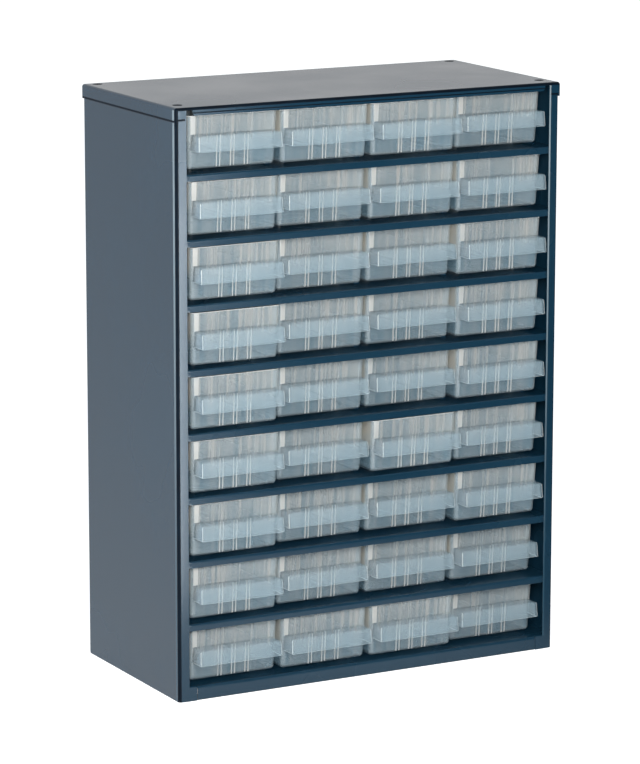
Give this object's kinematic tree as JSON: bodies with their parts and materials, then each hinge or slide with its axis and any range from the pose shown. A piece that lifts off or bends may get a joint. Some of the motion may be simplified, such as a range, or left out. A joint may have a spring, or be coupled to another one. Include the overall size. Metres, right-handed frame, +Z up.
{
  "type": "parts bin cabinet",
  "caption": "Upright steel cabinet for small parts, with rows of translucent pull-out drawers on folded shelves; each drawer has a hooded handle across its front.",
  "frame": {"origin": "middle of the footprint, hoods of the drawers included, on the surface the cabinet stands on", "axes": "+Z up; -Y is the side the drawers pull out of; +X is to the right when facing the drawers"},
  "size_m": [0.306, 0.1606, 0.417],
  "materials": {
    "painted_steel": "dark blue powder coat, satin, fine grain",
    "clear_plastic": "frosted translucent polypropylene",
    "rivet": "satin"
  },
  "bodies": {
    "cabinet": {"top_cap": "painted_steel", "base_tray": "painted_steel", "left_side": "painted_steel", "right_side": "painted_steel", "back_panel": "painted_steel", "back_rivets": "rivet", "shelf_1": "painted_steel", "shelf_2": "painted_steel", "shelf_3": "painted_steel", "shelf_4": "painted_steel", "shelf_5": "painted_steel", "shelf_6": "painted_steel", "shelf_7": "painted_steel", "shelf_8": "painted_steel"},
    "drawer_r1_c1": {"drawer_r1_c1": "clear_plastic"},
    "drawer_r1_c2": {"drawer_r1_c2": "clear_plastic"},
    "drawer_r1_c3": {"drawer_r1_c3": "clear_plastic"},
    "drawer_r1_c4": {"drawer_r1_c4": "clear_plastic"},
    "drawer_r2_c1": {"drawer_r2_c1": "clear_plastic"},
    "drawer_r2_c2": {"drawer_r2_c2": "clear_plastic"},
    "drawer_r2_c3": {"drawer_r2_c3": "clear_plastic"},
    "drawer_r2_c4": {"drawer_r2_c4": "clear_plastic"},
    "drawer_r3_c1": {"drawer_r3_c1": "clear_plastic"},
    "drawer_r3_c2": {"drawer_r3_c2": "clear_plastic"},
    "drawer_r3_c3": {"drawer_r3_c3": "clear_plastic"},
    "drawer_r3_c4": {"drawer_r3_c4": "clear_plastic"},
    "drawer_r4_c1": {"drawer_r4_c1": "clear_plastic"},
    "drawer_r4_c2": {"drawer_r4_c2": "clear_plastic"},
    "drawer_r4_c3": {"drawer_r4_c3": "clear_plastic"},
    "drawer_r4_c4": {"drawer_r4_c4": "clear_plastic"},
    "drawer_r5_c1": {"drawer_r5_c1": "clear_plastic"},
    "drawer_r5_c2": {"drawer_r5_c2": "clear_plastic"},
    "drawer_r5_c3": {"drawer_r5_c3": "clear_plastic"},
    "drawer_r5_c4": {"drawer_r5_c4": "clear_plastic"},
    "drawer_r6_c1": {"drawer_r6_c1": "clear_plastic"},
    "drawer_r6_c2": {"drawer_r6_c2": "clear_plastic"},
    "drawer_r6_c3": {"drawer_r6_c3": "clear_plastic"},
    "drawer_r6_c4": {"drawer_r6_c4": "clear_plastic"},
    "drawer_r7_c1": {"drawer_r7_c1": "clear_plastic"},
    "drawer_r7_c2": {"drawer_r7_c2": "clear_plastic"},
    "drawer_r7_c3": {"drawer_r7_c3": "clear_plastic"},
    "drawer_r7_c4": {"drawer_r7_c4": "clear_plastic"},
    "drawer_r8_c1": {"drawer_r8_c1": "clear_plastic"},
    "drawer_r8_c2": {"drawer_r8_c2": "clear_plastic"},
    "drawer_r8_c3": {"drawer_r8_c3": "clear_plastic"},
    "drawer_r8_c4": {"drawer_r8_c4": "clear_plastic"},
    "drawer_r9_c1": {"drawer_r9_c1": "clear_plastic"},
    "drawer_r9_c2": {"drawer_r9_c2": "clear_plastic"},
    "drawer_r9_c3": {"drawer_r9_c3": "clear_plastic"},
    "drawer_r9_c4": {"drawer_r9_c4": "clear_plastic"}
  },
  "joints": [
    {"name": "slide_r1_c1", "type": "slide", "parent": "cabinet", "child": "drawer_r1_c1", "axis": [0, -1, 0], "range_m": [0, 0.1173]},
    {"name": "slide_r1_c2", "type": "slide", "parent": "cabinet", "child": "drawer_r1_c2", "axis": [0, -1, 0], "range_m": [0, 0.1162]},
    {"name": "slide_r1_c3", "type": "slide", "parent": "cabinet", "child": "drawer_r1_c3", "axis": [0, -1, 0], "range_m": [0, 0.116]},
    {"name": "slide_r1_c4", "type": "slide", "parent": "cabinet", "child": "drawer_r1_c4", "axis": [0, -1, 0], "range_m": [0, 0.1207]},
    {"name": "slide_r2_c1", "type": "slide", "parent": "cabinet", "child": "drawer_r2_c1", "axis": [0, -1, 0], "range_m": [0, 0.1152]},
    {"name": "slide_r2_c2", "type": "slide", "parent": "cabinet", "child": "drawer_r2_c2", "axis": [0, -1, 0], "range_m": [0, 0.1199]},
    {"name": "slide_r2_c3", "type": "slide", "parent": "cabinet", "child": "drawer_r2_c3", "axis": [0, -1, 0], "range_m": [0, 0.1183]},
    {"name": "slide_r2_c4", "type": "slide", "parent": "cabinet", "child": "drawer_r2_c4", "axis": [0, -1, 0], "range_m": [0, 0.1176]},
    {"name": "slide_r3_c1", "type": "slide", "parent": "cabinet", "child": "drawer_r3_c1", "axis": [0, -1, 0], "range_m": [0, 0.1139]},
    {"name": "slide_r3_c2", "type": "slide", "parent": "cabinet", "child": "drawer_r3_c2", "axis": [0, -1, 0], "range_m": [0, 0.1208]},
    {"name": "slide_r3_c3", "type": "slide", "parent": "cabinet", "child": "drawer_r3_c3", "axis": [0, -1, 0], "range_m": [0, 0.1213]},
    {"name": "slide_r3_c4", "type": "slide", "parent": "cabinet", "child": "drawer_r3_c4", "axis": [0, -1, 0], "range_m": [0, 0.1162]},
    {"name": "slide_r4_c1", "type": "slide", "parent": "cabinet", "child": "drawer_r4_c1", "axis": [0, -1, 0], "range_m": [0, 0.1125]},
    {"name": "slide_r4_c2", "type": "slide", "parent": "cabinet", "child": "drawer_r4_c2", "axis": [0, -1, 0], "range_m": [0, 0.1202]},
    {"name": "slide_r4_c3", "type": "slide", "parent": "cabinet", "child": "drawer_r4_c3", "axis": [0, -1, 0], "range_m": [0, 0.1213]},
    {"name": "slide_r4_c4", "type": "slide", "parent": "cabinet", "child": "drawer_r4_c4", "axis": [0, -1, 0], "range_m": [0, 0.117]},
    {"name": "slide_r5_c1", "type": "slide", "parent": "cabinet", "child": "drawer_r5_c1", "axis": [0, -1, 0], "range_m": [0, 0.1131]},
    {"name": "slide_r5_c2", "type": "slide", "parent": "cabinet", "child": "drawer_r5_c2", "axis": [0, -1, 0], "range_m": [0, 0.1204]},
    {"name": "slide_r5_c3", "type": "slide", "parent": "cabinet", "child": "drawer_r5_c3", "axis": [0, -1, 0], "range_m": [0, 0.1221]},
    {"name": "slide_r5_c4", "type": "slide", "parent": "cabinet", "child": "drawer_r5_c4", "axis": [0, -1, 0], "range_m": [0, 0.1163]},
    {"name": "slide_r6_c1", "type": "slide", "parent": "cabinet", "child": "drawer_r6_c1", "axis": [0, -1, 0], "range_m": [0, 0.1139]},
    {"name": "slide_r6_c2", "type": "slide", "parent": "cabinet", "child": "drawer_r6_c2", "axis": [0, -1, 0], "range_m": [0, 0.1207]},
    {"name": "slide_r6_c3", "type": "slide", "parent": "cabinet", "child": "drawer_r6_c3", "axis": [0, -1, 0], "range_m": [0, 0.1131]},
    {"name": "slide_r6_c4", "type": "slide", "parent": "cabinet", "child": "drawer_r6_c4", "axis": [0, -1, 0], "range_m": [0, 0.1171]},
    {"name": "slide_r7_c1", "type": "slide", "parent": "cabinet", "child": "drawer_r7_c1", "axis": [0, -1, 0], "range_m": [0, 0.1141]},
    {"name": "slide_r7_c2", "type": "slide", "parent": "cabinet", "child": "drawer_r7_c2", "axis": [0, -1, 0], "range_m": [0, 0.1207]},
    {"name": "slide_r7_c3", "type": "slide", "parent": "cabinet", "child": "drawer_r7_c3", "axis": [0, -1, 0], "range_m": [0, 0.1212]},
    {"name": "slide_r7_c4", "type": "slide", "parent": "cabinet", "child": "drawer_r7_c4", "axis": [0, -1, 0], "range_m": [0, 0.1165]},
    {"name": "slide_r8_c1", "type": "slide", "parent": "cabinet", "child": "drawer_r8_c1", "axis": [0, -1, 0], "range_m": [0, 0.1157]},
    {"name": "slide_r8_c2", "type": "slide", "parent": "cabinet", "child": "drawer_r8_c2", "axis": [0, -1, 0], "range_m": [0, 0.1213]},
    {"name": "slide_r8_c3", "type": "slide", "parent": "cabinet", "child": "drawer_r8_c3", "axis": [0, -1, 0], "range_m": [0, 0.1212]},
    {"name": "slide_r8_c4", "type": "slide", "parent": "cabinet", "child": "drawer_r8_c4", "axis": [0, -1, 0], "range_m": [0, 0.122]},
    {"name": "slide_r9_c1", "type": "slide", "parent": "cabinet", "child": "drawer_r9_c1", "axis": [0, -1, 0], "range_m": [0, 0.1176]},
    {"name": "slide_r9_c2", "type": "slide", "parent": "cabinet", "child": "drawer_r9_c2", "axis": [0, -1, 0], "range_m": [0, 0.1155]},
    {"name": "slide_r9_c3", "type": "slide", "parent": "cabinet", "child": "drawer_r9_c3", "axis": [0, -1, 0], "range_m": [0, 0.1146]},
    {"name": "slide_r9_c4", "type": "slide", "parent": "cabinet", "child": "drawer_r9_c4", "axis": [0, -1, 0], "range_m": [0, 0.1216]}
  ]
}
